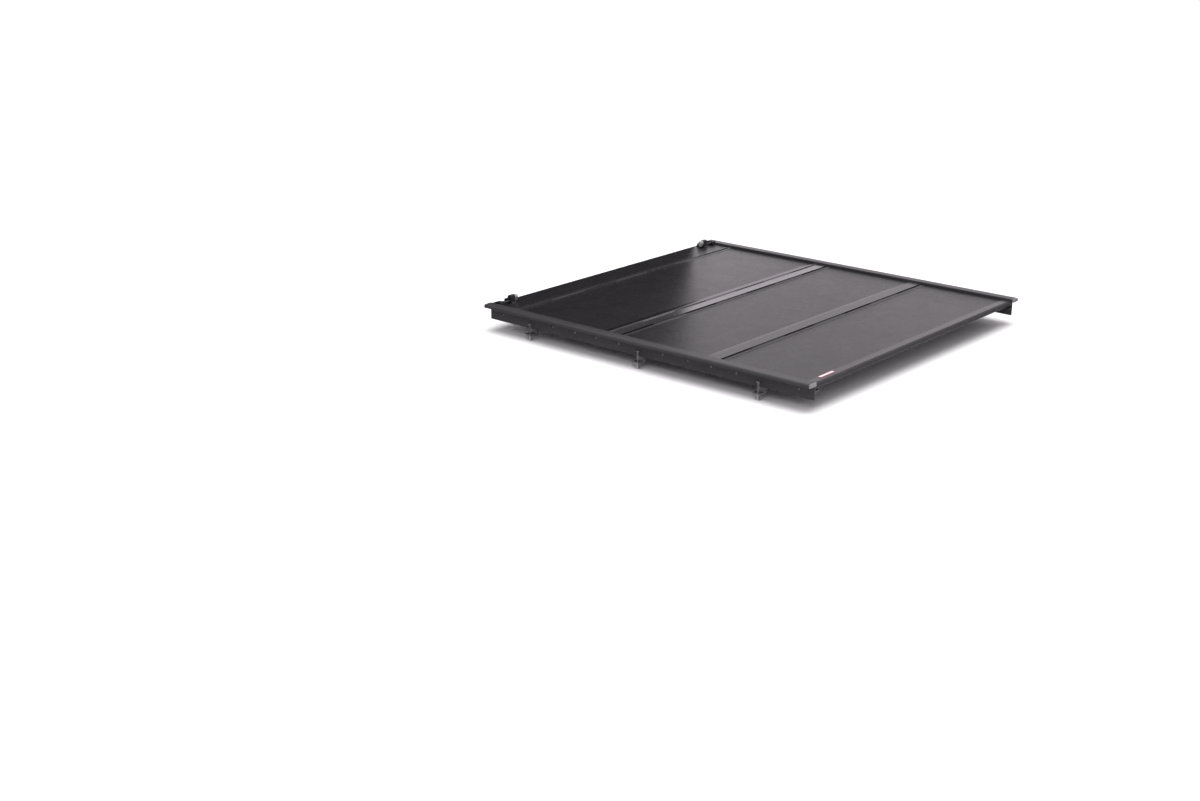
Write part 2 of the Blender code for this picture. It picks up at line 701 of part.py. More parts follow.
def make_turn_latch(side_name, side, finishes, panel):
    """Turn latch under the middle panel: a fixed base and a lever whose blade turns under the ledge."""
    centre = (side * TURN_X, TURN_Y)
    base_low = -0.0302
    base = prism(
        box(centre[0] - 0.017, centre[0] + 0.017, TURN_Y - 0.022, TURN_Y + 0.022, 0.006),
        "Z",
        base_low,
        BOTTOM - GAP,
    )
    socket = turned([(0.0062, base_low - 0.002), (0.0062, -0.0222)], "Z", centre, 20)
    place(f"{side_name}_turn_base", combined("DIFFERENCE", base, socket), finishes["cast_alloy"], panel)

    axis = axis_empty(f"{side_name}_turn_axis", (*centre, base_low), panel)
    blade = rounded([
        (centre[0] - 0.009, TURN_Y + TURN_GRIP, 0.008),
        (centre[0] - 0.009, TURN_Y - TURN_BLADE, 0.005),
        (centre[0] + 0.009, TURN_Y - TURN_BLADE, 0.005),
        (centre[0] + 0.009, TURN_Y + TURN_GRIP, 0.008),
    ])
    plate = prism(blade, "Z", base_low - 0.0053, base_low - GAP)
    stub = turned([(0.0058, base_low - 0.002), (0.0058, -0.0226)], "Z", centre, 20)
    place(f"{side_name}_turn_lever", combined("UNION", plate, stub), finishes["steel"], axis)


def make_slam_latch(side_name, side, finishes, panel):
    """Slam latch under the rear panel: a body with a sliding bolt that shoots out under the ledge."""
    outline = rounded([
        (SLAM_Y - 0.017, BOTTOM - GAP, 0.001),
        (SLAM_Y + 0.017, BOTTOM - GAP, 0.001),
        (SLAM_Y + 0.013, SLAM_Z - 0.011, 0.007),
        (SLAM_Y - 0.013, SLAM_Z - 0.011, 0.007),
    ])
    bore = circle(SLAM_Y, SLAM_Z, SLAM_R + 0.0004, 20)
    body = prism(outline, "X", *sorted((side * SLAM_BODY[0], side * SLAM_BODY[1])), [bore])
    place(f"{side_name}_slam_body", body, finishes["black_plastic"], panel)

    axis = axis_empty(f"{side_name}_slam_axis", (side * SLAM_TIP, SLAM_Y, SLAM_Z), panel)
    bolt = turned(
        [(r, side * x) for r, x in [
            (SLAM_R - 0.001, SLAM_BODY[0] + 0.003),
            (SLAM_R, SLAM_BODY[0] + 0.004),
            (SLAM_R, SLAM_TIP - 0.003),
            (SLAM_R - 0.0025, SLAM_TIP),
        ]],
        "X",
        (SLAM_Y, SLAM_Z),
    )
    place(f"{side_name}_slam_bolt", bolt, finishes["steel"], axis)


def make_release_cable(finishes, panel):
    """Release cable that runs from one slam latch to the other, up against the rear panel's underside."""
    end = SLAM_BODY[0] - GAP
    points = []
    for k in range(41):
        x = end * (k / 20 - 1)
        rise = min(max((end - abs(x) - 0.03) / 0.15, 0.0), 1.0)
        ease = rise * rise * (3 - 2 * rise)
        points.append((x, SLAM_Y + 0.014 * ease, SLAM_Z + 0.0095 * ease))
    cable = tube("release_cable", points, CABLE_R)
    cable.data.materials.append(finishes["black_plastic"])
    place_object(cable, panel)


def make_tail_details(finishes, panel):
    """Bulb seal along the tailgate end, and the blank two-step badge on the left corner."""
    middle_z = -0.004
    rear = TAIL_Y - GAP
    bulb = rounded([
        (rear, middle_z - 0.008, 0),
        (rear, middle_z + 0.008, 0),
        (rear - 0.0145, middle_z + 0.008, 0.0072),
        (rear - 0.0145, middle_z - 0.008, 0.0072),
    ])
    hollow = circle(rear - 0.0075, middle_z, 0.005, 12)
    place("tailgate_seal", prism(bulb, "X", -BAR_HALF, BAR_HALF, [hollow]), finishes["rubber"], panel)

    half_x = BADGE_SIZE[0] / 2
    half_y = BADGE_SIZE[1] / 2
    low = TOP + GAP
    x, y = BADGE_CENTRE
    plate = prism(box(x - half_x, x + half_x, y - half_y, y + half_y, 0.004), "Z", low, low + 0.0006)
    bar = prism(
        box(x - half_x + 0.003, x + half_x - 0.003, y - 0.0055, y + 0.0055, 0.003),
        "Z",
        low + 0.0003,
        low + 0.0011,
    )
    place("badge", combined("UNION", plate, bar), finishes["badge"], panel)


def main():
    """Build the cover, closed."""
    for old in list(bpy.data.objects):
        bpy.data.objects.remove(old)
    finishes = make_materials()

    front = axis_empty("front_fold_axis", (0.0, FRONT_FOLD_Y, AXIS_Z))
    spine = axis_empty("spine_front_axis", (0.0, SPINE_FRONT_Y, AXIS_Z), front)
    middle = axis_empty("spine_rear_axis", (0.0, SPINE_REAR_Y, AXIS_Z), spine)
    rear = axis_empty("rear_fold_axis", (0.0, REAR_FOLD_Y, AXIS_Z), middle)

    make_header(finishes)
    make_panel("front_panel", finishes, front, FRONT_FOLD_Y, SPINE_FRONT_Y, SPINE_BAR, 0.016, 1)
    place("spine", spine_mesh(), finishes["bar_alloy"], spine)
    make_panel("middle_panel", finishes, middle, SPINE_REAR_Y, REAR_FOLD_Y, REAR_FOLD_BAR, 0.050, 2)
    make_panel("rear_panel", finishes, rear, REAR_FOLD_Y, None, TAIL_BAR, 0.022, 1)

    pins = (
        ("front_fold_pin", FRONT_FOLD_Y, None),
        ("spine_front_pin", SPINE_FRONT_Y, front),
        ("spine_rear_pin", SPINE_REAR_Y, spine),
        ("rear_fold_pin", REAR_FOLD_Y, middle),
    )
    for name, hinge_y, parent in pins:
        place(name, pin_mesh(hinge_y), finishes["steel"], parent)

    for side_name, side in SIDES.items():
        make_rail(side_name, side, finishes)
        make_clamps(side_name, side, finishes)
        make_header_lock(side_name, side, finishes)
        make_prop(side_name, side, finishes, front)
        make_turn_latch(side_name, side, finishes, middle)
        make_slam_latch(side_name, side, finishes, rear)
    make_release_cable(finishes, rear)
    make_tail_details(finishes, rear)


main()
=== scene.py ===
"""Looks of the folding tonneau cover: materials, fasteners, floor, light and camera."""

import json
import math

import bmesh
import bpy
from mathutils import Matrix, Vector


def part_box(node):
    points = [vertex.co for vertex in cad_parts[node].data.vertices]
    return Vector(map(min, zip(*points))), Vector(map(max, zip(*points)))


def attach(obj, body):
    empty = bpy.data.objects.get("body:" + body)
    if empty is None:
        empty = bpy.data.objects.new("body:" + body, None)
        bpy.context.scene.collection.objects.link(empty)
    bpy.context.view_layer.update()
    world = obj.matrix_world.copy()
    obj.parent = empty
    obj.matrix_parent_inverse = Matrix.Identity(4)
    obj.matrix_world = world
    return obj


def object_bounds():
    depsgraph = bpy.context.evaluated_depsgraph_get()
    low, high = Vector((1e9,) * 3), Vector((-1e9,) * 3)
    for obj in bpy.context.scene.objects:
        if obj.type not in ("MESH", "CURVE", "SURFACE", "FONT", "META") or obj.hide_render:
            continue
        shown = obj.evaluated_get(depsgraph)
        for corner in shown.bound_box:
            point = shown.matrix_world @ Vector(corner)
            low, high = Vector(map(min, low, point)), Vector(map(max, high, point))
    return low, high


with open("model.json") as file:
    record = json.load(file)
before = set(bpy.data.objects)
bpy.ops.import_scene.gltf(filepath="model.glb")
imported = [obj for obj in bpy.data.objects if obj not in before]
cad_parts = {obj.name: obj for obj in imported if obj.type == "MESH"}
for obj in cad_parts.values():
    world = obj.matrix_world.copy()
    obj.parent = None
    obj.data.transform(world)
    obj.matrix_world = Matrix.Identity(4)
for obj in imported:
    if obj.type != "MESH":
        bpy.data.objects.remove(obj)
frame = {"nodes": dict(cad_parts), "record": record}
CAD_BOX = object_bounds()
NODES = frame["nodes"]
SIDES = {"left": -1, "right": 1}

# Camera, in the cover's frame, with its angles in degrees
CAMERA_AT = (-5.866, -4.163, 1.988)
CAMERA_AZIMUTH = -49.08
CAMERA_ELEVATION = 18.90
CAMERA_ROLL = 0.08
CAMERA_LENS = 48.95
CAMERA_SENSOR = 36.0
CAMERA_REACH = 500.0

# Floor and light, with the sky's spread in degrees
FLOOR_Z = CAD_BOX[0].z - 0.001
FLOOR_HALF = 300.0
LIGHT_TINT = (1.0, 0.935, 1.0)
WORLD_LIGHT = 0.62
SKY_LIGHT = 2.2
SKY_SPREAD = 50
COVER_MIDDLE = (0, 0, 0)
OVERHEAD_AT = (0.5, -0.5, 5.5)
OVERHEAD_SIZE = 5.0
OVERHEAD_POWER = 120.0
SIDE_LIGHT_AT = (-4.5, -3.0, 4.0)
SIDE_LIGHT_SIZE = 3.0
SIDE_LIGHT_POWER = 60.0

# Cards past the cab end that only reflections see: a dark one as wide as a cab, and a bright one beside it
DARK_CARD = [(-1.60, 0.93, -0.12), (0.79, 0.93, -0.12), (0.73, 1.05, 0.90), (-1.10, 1.05, 0.90)]
BRIGHT_CARD = [(0.82, 0.95, -0.12), (5.00, 0.95, -0.12), (5.00, 1.10, 1.60), (0.78, 1.10, 1.60)]
BRIGHT_CARD_FADE = (0.28, 0.50)
BRIGHT_CARD_LIGHT = 0.95
BRIGHT_CARD_SIDE = (2.0, 3.8)
BRIGHT_CARD_SIDE_LIGHT = 0.78

# Dark cards beside the rails, low over the floor, in place of the body sides that a cover lies between
SIDE_CARD_X = (0.87, 4.0)
SIDE_CARD_Y = (-3.0, 4.0)
SIDE_CARD_RISE = 0.004

# Bars painted brighter as a highlight band over the spine, and bars given painted shade down to the panels'
# dark tone
SPINE_HIGHLIGHT_BARS = ("front_panel_rear_bar", "spine")
FLUSH_SHADED_BARS = ("header_hinge_bar", "front_panel_front_bar", "middle_panel_front_bar", "rear_panel_front_bar")

# Hinges with painted shade on their knuckles in place of the shadow in their gaps, and one whose knuckles
# carry a mid-tone painted shade that mutes their highlight. The painted tone holds for the first of the two
# distances from a pin and is gone at the second
GAP_SHADE_HINGES = ("spine_rear_pin", "rear_fold_pin")
GAP_SHADE_REACH = (0.0026, 0.0038)
GAP_SHADE_KNUCKLE = (0.006, 0.006, 0.0065)
MUTED_SHADE_HINGE = "spine_front_pin"
MUTED_SHADE_REACH = (0.0045, 0.0075)
MUTED_SHADE_KNUCKLE = (0.20, 0.195, 0.20)

# Painted shade tone that darkens a bar to the panels' tone, and the tone of rubbed alloy
FLUSH_SHADE_TONE = (0.030, 0.029, 0.031)
WORN_ALLOY = (0.26, 0.26, 0.265)

# Corners: how far the rounded normal leans from the flat one where wear begins and where it is full
BEVEL_SAMPLES = 6
EDGE_TURN = (0.003, 0.06)
KNOB_ROUNDING = 0.0018

# How far short of the lock's block the plunger turns from knob to rod, and how far up the badge turns pale
KNOB_TO_ROD = (0.0006, 0.0002)
BADGE_BAR_RISE = (0.00075, 0.00090)

# Button-head screws: the head's profile as shares of radius and height, and its hexagonal socket
SCREW_SIDES = 24
SCREW_GAP = 0.0001
SCREW_PROFILE = ((1.0, 0.0), (1.0, 0.30), (0.93, 0.62), (0.78, 0.86), (0.58, 1.0))
SOCKET_REACH = 0.40
SOCKET_LEVELS = (0.96, 0.35)

# Where the screws sit: lock screws across from the middle of the foot, and in from its edge
LOCK_FOOT_THICKNESS = 0.0025
LOCK_SCREWS_ACROSS = (-0.008, 0.006)
LOCK_SCREWS_IN = 0.0055
LOCK_SCREW_SIZE = (0.0028, 0.0009)
KEEPER_SCREW_IN = 0.0130
KEEPER_SCREW_SIZE = (0.0034, 0.0016)
WEB_THICKNESS = 0.003
LEDGE_SCREWS_Y = (-0.80, -0.50, -0.37, -0.25, -0.12, 0.12, 0.25, 0.37, 0.50, 0.80)
LEDGE_SCREW_SIZE = (0.0050, 0.0028)


def middle_of(node):
    """Middle of a CAD node's box."""
    low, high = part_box(node)
    return (low + high) / 2


class Graph:
    """Node tree of one material, with short calls for the nodes that the finishes share."""

    def __init__(self, name):
        self.material = bpy.data.materials.new(name)
        self.material.use_nodes = True
        self.tree = self.material.node_tree
        self.shader = self.tree.nodes["Principled BSDF"]
        self.place = self.tree.nodes.new("ShaderNodeTexCoord").outputs["Object"]

    def link(self, source, target):
        self.tree.links.new(source, target)

    def set(self, **values):
        """Plain values on the shader's own sockets."""
        for key, value in values.items():
            self.shader.inputs[key.replace("_", " ")].default_value = value

    def colour(self, source):
        self.link(source, self.shader.inputs["Base Color"])

    def roughness(self, source):
        self.link(source, self.shader.inputs["Roughness"])

    def axis(self, letter):
        """One object coordinate."""
        node = self.tree.nodes.new("ShaderNodeSeparateXYZ")
        self.link(self.place, node.inputs[0])
        return node.outputs[letter]

    def stretched(self, scale):
        """Object coordinates, scaled along each axis."""
        node = self.tree.nodes.new("ShaderNodeMapping")
        node.inputs["Scale"].default_value = scale
        self.link(self.place, node.inputs["Vector"])
        return node.outputs["Vector"]

    def noise(self, scale, detail=3.0, rough=0.5, stretch=(1, 1, 1)):
        node = self.tree.nodes.new("ShaderNodeTexNoise")
        node.inputs["Scale"].default_value = scale
        node.inputs["Detail"].default_value = detail
        node.inputs["Roughness"].default_value = rough
        self.link(self.stretched(stretch), node.inputs["Vector"])
        return node.outputs["Fac"]

    def cells(self, scale):
        node = self.tree.nodes.new("ShaderNodeTexVoronoi")
        node.inputs["Scale"].default_value = scale
        self.link(self.place, node.inputs["Vector"])
        return node.outputs["Distance"]

    def ramp(self, value, low, high, out_low=0.0, out_high=1.0):
        """Value between low and high, clamped and scaled to between out_low and out_high."""
        node = self.tree.nodes.new("ShaderNodeMapRange")
        node.inputs["From Min"].default_value = low
        node.inputs["From Max"].default_value = high
        node.inputs["To Min"].default_value = out_low
        node.inputs["To Max"].default_value = out_high
        self.link(value, node.inputs["Value"])
        return node.outputs["Result"]

    def maths(self, operation, first, second):
        node = self.tree.nodes.new("ShaderNodeMath")
        node.operation = operation
        for socket, value in zip(node.inputs, (first, second)):
            if isinstance(value, (int, float)):
                socket.default_value = value
            else:
                self.link(value, socket)
        return node.outputs[0]

    def blend(self, share, first, second):
        """Colour mixed from two, where each is a colour or a socket."""
        node = self.tree.nodes.new("ShaderNodeMix")
        node.data_type = "RGBA"
        self.link(share, node.inputs[0])
        for socket, value in ((node.inputs[6], first), (node.inputs[7], second)):
            if isinstance(value, tuple):
                socket.default_value = (*value, 1.0)
            else:
                self.link(value, socket)
        return node.outputs[2]

    def away(self, along, node):
        """Distance along Y from the middle of a CAD node."""
        return self.maths("ABSOLUTE", self.maths("SUBTRACT", along, middle_of(node).y), 0.0)

    def rounded(self, radius):
        """Normal on corners rounded off by a radius."""
        node = self.tree.nodes.new("ShaderNodeBevel")
        node.samples = BEVEL_SAMPLES
        node.inputs["Radius"].default_value = radius
        return node.outputs["Normal"]

    def edges(self, radius):
        """About 1 along the corners of the shape and 0 on its flats."""
        geometry = self.tree.nodes.new("ShaderNodeNewGeometry")
        dot = self.tree.nodes.new("ShaderNodeVectorMath")
        dot.operation = "DOT_PRODUCT"
        self.link(self.rounded(radius), dot.inputs[0])
        self.link(geometry.outputs["Normal"], dot.inputs[1])
        return self.ramp(self.maths("SUBTRACT", 1.0, dot.outputs["Value"]), *EDGE_TURN)

    def rubbed(self, base, worn_colour, share, radius, patches):
        """Base colour, worn in patches along the corners by up to a share."""
        worn = self.maths("MULTIPLY", self.edges(radius), patches)
        return self.blend(self.ramp(worn, 0.0, 1.0, 0.0, share), base, worn_colour)

    def bump(self, *layers, rounding=None):
        """Normal from (height, strength, distance) layers, one over the other, on corners rounded off."""
        normal = None if rounding is None else self.rounded(rounding)
        for height, strength, distance in layers:
            node = self.tree.nodes.new("ShaderNodeBump")
            node.inputs["Strength"].default_value = strength
            node.inputs["Distance"].default_value = distance
            self.link(height, node.inputs["Height"])
            if normal is not None:
                self.link(normal, node.inputs["Normal"])
            normal = node.outputs["Normal"]
        self.link(normal, self.shader.inputs["Normal"])


def panel_skin():
    """Dark satin skin of the panels: fine leather grain, faint large mottle and dust, a little unevenness."""
    g = Graph("panel_skin_look")
    mottle = g.noise(9.0, 4.0, 0.55)
    fine = g.noise(420.0, 2.0, 0.6)
    grain = g.cells(760.0)
    dust = g.ramp(g.noise(34.0, 6.0, 0.65), 0.56, 0.75, 0.0, 0.35)
    base = g.blend(mottle, (0.011, 0.0105, 0.012), (0.017, 0.016, 0.018))
    base = g.blend(g.ramp(fine, 0.35, 0.7, 0.0, 0.5), base, (0.024, 0.023, 0.025))
    g.colour(g.blend(dust, base, (0.042, 0.040, 0.041)))
    satin = g.maths("ADD", g.ramp(mottle, 0.3, 0.7, 0.22, 0.27), g.ramp(grain, 0.1, 0.7, 0.0, 0.05))
    g.roughness(satin)
    swell = g.noise(3.2, 1.0, 0.4)
    g.bump((swell, 0.35, 0.004), (grain, 0.35, 0.0004), (fine, 0.25, 0.0002))
    return g.material


def bar_alloy(name, dark, light, line_colour, metallic, low, high, highlight_fade_node=None):
    """Anodised extrusion: fine drawing lines along X, edges worn a little, and painted shade on the hinge
    knuckles in place of the shadow in the hinge gaps.

    The tone of the node given as the last argument starts as a flush bar's painted shade tone at its front
    edge and turns into the bar's own, a painted soft front edge on the spine's highlight band.
    """
    g = Graph(name)
    lines = g.noise(1.0, 3.0, 0.6, stretch=(6.0, 900.0, 900.0))
    cloud = g.noise(14.0, 4.0, 0.6)
    base = g.blend(cloud, dark, light)
    base = g.blend(g.ramp(lines, 0.3, 0.7, 0.0, 0.5), base, line_colour)
    base = g.rubbed(base, WORN_ALLOY, 0.6, 0.0012, g.ramp(g.noise(60.0, 4.0, 0.6), 0.4, 0.65))
    along = g.axis("Y")
    if highlight_fade_node is not None:
        rear, front = (corner.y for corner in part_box(highlight_fade_node))
        # Painted highlight edge: the tone fades from the flush bars' painted shade tone at the front to the
        # bar's own bright tone
        base = g.blend(g.ramp(along, rear, front), base, FLUSH_SHADE_TONE)
        # Painted shade on the knuckles of the spine's front hinge: a mid tone that mutes their highlight
        muted_shade = g.ramp(g.away(along, MUTED_SHADE_HINGE), *MUTED_SHADE_REACH, 1.0, 0.0)
        base = g.blend(muted_shade, base, MUTED_SHADE_KNUCKLE)
    # Painted shade on the knuckles of the gap hinges, near black and rough, in place of the shadow in their
    # gaps
    nearest = g.maths("MINIMUM", *(g.away(along, pin) for pin in GAP_SHADE_HINGES))
    knuckle_shade = g.ramp(nearest, *GAP_SHADE_REACH, 1.0, 0.0)
    g.colour(g.blend(knuckle_shade, base, GAP_SHADE_KNUCKLE))
    satin = g.maths("ADD", g.ramp(cloud, 0.3, 0.7, low, high), g.ramp(lines, 0.3, 0.7, 0.0, 0.05))
    g.roughness(g.maths("MAXIMUM", satin, g.ramp(knuckle_shade, 0.0, 1.0, 0.0, 0.9)))
    g.set(Metallic=metallic)
    g.bump((g.noise(2.6, 1.0, 0.4), 0.3, 0.003), (lines, 0.3, 0.0003))
    return g.material


def rail_alloy():
    """Satin powder coat of the rails: orange peel, faint drawing lines along Y, rubbed edges."""
    g = Graph("rail_alloy_look")
    peel = g.noise(650.0, 2.0, 0.5)
    cloud = g.noise(11.0, 4.0, 0.6, stretch=(1.0, 0.35, 1.0))
    lines = g.noise(1.0, 2.0, 0.5, stretch=(500.0, 4.0, 500.0))
    patches = g.ramp(g.noise(38.0, 5.0, 0.65, stretch=(1.0, 0.3, 1.0)), 0.42, 0.66)
    base = g.blend(cloud, (0.040, 0.039, 0.042), (0.054, 0.052, 0.055))
    base = g.blend(g.ramp(lines, 0.35, 0.7, 0.0, 0.35), base, (0.072, 0.070, 0.073))
    g.colour(g.rubbed(base, WORN_ALLOY, 0.6, 0.0016, patches))
    g.roughness(g.maths("ADD", g.ramp(cloud, 0.3, 0.7, 0.30, 0.37), g.ramp(peel, 0.3, 0.7, 0.0, 0.06)))
    g.set(Metallic=0.15)
    g.bump((peel, 0.3, 0.0004), (lines, 0.2, 0.0002))
    return g.material


def rubber():
    """Matt black rubber with a dusty bloom and fine pores."""
    g = Graph("rubber_look")
    pores = g.noise(900.0, 3.0, 0.6)
    bloom = g.ramp(g.noise(40.0, 5.0, 0.65), 0.45, 0.8, 0.0, 0.6)
    base = g.blend(pores, (0.010, 0.010, 0.011), (0.020, 0.020, 0.021))
    g.colour(g.blend(bloom, base, (0.045, 0.044, 0.043)))
    g.roughness(g.ramp(pores, 0.2, 0.8, 0.62, 0.86))
    g.bump((pores, 0.5, 0.0005))
    return g.material


def steel():
    """Zinc-plated steel: soft spangle, fine scratches and a little dulling."""
    g = Graph("steel_look")
    spangle = g.cells(230.0)
    scratch = g.noise(1.0, 4.0, 0.7, stretch=(1400.0, 60.0, 300.0))
    dull = g.noise(55.0, 5.0, 0.65)
    base = g.blend(dull, (0.36, 0.36, 0.355), (0.50, 0.50, 0.505))
    base = g.blend(g.ramp(spangle, 0.1, 0.6, 0.0, 0.35), base, (0.62, 0.62, 0.63))
    g.colour(g.blend(g.ramp(dull, 0.62, 0.8, 0.0, 0.5), base, (0.20, 0.185, 0.16)))
    g.roughness(g.maths("ADD", g.ramp(dull, 0.3, 0.7, 0.24, 0.40), g.ramp(scratch, 0.4, 0.7, 0.0, 0.10)))
    g.set(Metallic=1.0)
    g.bump((scratch, 0.25, 0.0002), (spangle, 0.12, 0.0002))
    return g.material


def cast_alloy():
    """Tumbled casting: grainy, with darker hollows and bright rubbed edges."""
    g = Graph("cast_alloy_look")
    grit = g.noise(520.0, 5.0, 0.7)
    cloud = g.noise(46.0, 4.0, 0.6)
    base = g.blend(cloud, (0.20, 0.20, 0.205), (0.30, 0.30, 0.305))
    base = g.blend(g.ramp(grit, 0.5, 0.75, 0.0, 0.6), base, (0.14, 0.14, 0.143))
    patches = g.ramp(g.noise(120.0, 4.0, 0.6), 0.4, 0.6)
    g.colour(g.rubbed(base, (0.52, 0.52, 0.53), 0.8, 0.0012, patches))
    g.roughness(g.ramp(grit, 0.3, 0.7, 0.42, 0.62))
    g.set(Metallic=0.8)
    g.bump((grit, 0.55, 0.0008), (cloud, 0.2, 0.001))
    return g.material


def moulded(g, dark, light, worn_colour, share, low, high, rounding=None):
    """Colour of moulded plastic, once its spark texture, sink marks and roughness are on the graph."""
    spark = g.noise(800.0, 4.0, 0.65)
    cloud = g.noise(30.0, 4.0, 0.6)
    g.roughness(g.ramp(spark, 0.25, 0.75, low, high))
    g.bump((spark, 0.4, 0.0004), (cloud, 0.2, 0.0012), rounding=rounding)
    patches = g.ramp(g.noise(90.0, 4.0, 0.6), 0.45, 0.65)
    return g.rubbed(g.blend(cloud, dark, light), worn_colour, share, 0.001, patches)


def plastic(name, dark, light, worn_colour, low, high):
    """Moulded plastic with a fine spark texture, slight sink marks and rubbed edges."""
    g = Graph(name)
    g.colour(moulded(g, dark, light, worn_colour, 0.7, low, high))
    return g.material


def plunger_finish():
    """Light moulded knob on a dark plated rod, told apart by how far out along X they are."""
    g = Graph("plunger_look")
    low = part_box("right_lock_body")[0]
    outward = g.maths("ABSOLUTE", g.axis("X"), 0.0)
    rod = g.ramp(outward, *(low.x - gap for gap in KNOB_TO_ROD))
    knob = moulded(
        g, (0.32, 0.315, 0.325), (0.39, 0.385, 0.395), (0.50, 0.50, 0.51), 0.6, 0.30, 0.48,
        rounding=KNOB_ROUNDING
    )
    plated = g.blend(g.noise(30.0, 4.0, 0.6), (0.035, 0.035, 0.037), (0.055, 0.055, 0.057))
    g.colour(g.blend(rod, knob, plated))
    return g.material


def badge_finish():
    """Blank badge: red enamel, and a pale raised bar, told apart by height."""
    g = Graph("badge_look")
    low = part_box("badge")[0]
    raised = g.ramp(g.axis("Z"), *(low.z + rise for rise in BADGE_BAR_RISE))
    scuff = g.noise(160.0, 5.0, 0.6)
    red = g.blend(scuff, (0.30, 0.012, 0.020), (0.42, 0.020, 0.028))
    pale = g.blend(scuff, (0.66, 0.63, 0.65), (0.80, 0.78, 0.79))
    g.colour(g.blend(raised, red, pale))
    g.roughness(g.ramp(scuff, 0.3, 0.7, 0.18, 0.34))
    g.set(Coat_Weight=0.6)
    g.bump((scuff, 0.12, 0.0003))
    return g.material


def floor_finish():
    """Pale studio floor with a barely visible variation."""
    g = Graph("floor_look")
    cloud = g.noise(0.6, 3.0, 0.5)
    g.colour(g.blend(cloud, (0.86, 0.86, 0.865), (0.90, 0.90, 0.90)))
    g.roughness(g.ramp(cloud, 0.3, 0.7, 0.75, 0.85))
    return g.material


def dark_card_finish():
    """Nearly black and matt."""
    g = Graph("dark_card_look")
    g.colour(g.blend(g.noise(2.0, 2.0), (0.002, 0.002, 0.002), (0.004, 0.004, 0.004)))
    g.roughness(g.ramp(g.noise(3.0), 0.3, 0.7, 0.9, 1.0))
    return g.material


def bright_card_finish():
    """Glow that fades upwards to the world's own light, and rises again sideways."""
    g = Graph("bright_card_look")
    g.colour(g.blend(g.noise(2.0, 2.0), (0.01, 0.01, 0.01), (0.02, 0.02, 0.02)))
    upward = g.ramp(g.axis("Z"), *BRIGHT_CARD_FADE, BRIGHT_CARD_LIGHT, WORLD_LIGHT)
    sideways = g.ramp(g.axis("X"), *BRIGHT_CARD_SIDE, WORLD_LIGHT, BRIGHT_CARD_SIDE_LIGHT)
    g.link(g.maths("MAXIMUM", upward, sideways), g.shader.inputs["Emission Strength"])
    g.set(Emission_Color=(*LIGHT_TINT, 1.0))
    return g.material


FINISHES = {
    "panel_skin": panel_skin(),
    "bar_alloy": bar_alloy(
        "bar_alloy_look", (0.070, 0.067, 0.071), (0.090, 0.086, 0.091), (0.104, 0.100, 0.105),
        0.55, 0.20, 0.26
    ),
    # Painted highlight: a brighter, more metallic copy of the bar alloy for the bright band over the spine
    "spine_highlight_alloy": bar_alloy(
        "spine_painted_highlight_look", (0.27, 0.26, 0.27), (0.32, 0.31, 0.32), (0.36, 0.35, 0.36),
        0.92, 0.15, 0.20,
        highlight_fade_node="front_panel_rear_bar"
    ),
    # Painted shade: a darker copy of the bar alloy, toned down to the panels
    "flush_shaded_alloy": bar_alloy(
        "flush_painted_shade_look", (0.020, 0.019, 0.021), FLUSH_SHADE_TONE, (0.040, 0.038, 0.041),
        0.2, 0.22, 0.28
    ),
    "rail_alloy": rail_alloy(),
    "rubber": rubber(),
    "steel": steel(),
    "cast_alloy": cast_alloy(),
    "black_plastic": plastic(
        "black_plastic_look", (0.012, 0.012, 0.013), (0.020, 0.020, 0.021), (0.075, 0.075, 0.077), 0.38, 0.58
    ),
    "grey_plastic": plastic(
        "grey_plastic_look", (0.16, 0.16, 0.165), (0.21, 0.21, 0.215), (0.34, 0.34, 0.345), 0.34, 0.50
    ),
    "plunger": plunger_finish(),
    "badge": badge_finish(),
}


def finish_of(node, slot):
    """Finish of a CAD node: its slot's own, or the one that its place calls for: the painted highlight copy
    for the spine band, the painted shade copy for the flush bars, or the plunger's.
    """
    if node in SPINE_HIGHLIGHT_BARS:
        return FINISHES["spine_highlight_alloy"]
    if node in FLUSH_SHADED_BARS:
        return FINISHES["flush_shaded_alloy"]
    if node.endswith("_lock_plunger"):
        return FINISHES["plunger"]
    return FINISHES[slot]


def dress():
    """Finishes on the CAD's own pieces."""
    for part in frame["record"]["subparts"]:
        piece = NODES[part["node"]]
        finish = finish_of(part["node"], part["material_slot"])
        if not piece.material_slots:
            piece.data.materials.append(finish)
        for slot in piece.material_slots:
            slot.material = finish


def new_piece(name, bm, finish):
    """Object made from a bmesh, which it frees."""
    mesh = bpy.data.meshes.new(name)
    bm.to_mesh(mesh)
    bm.free()
    piece = bpy.data.objects.new(name, mesh)
    bpy.context.scene.collection.objects.link(piece)
    piece.data.materials.append(finish)
    return piece


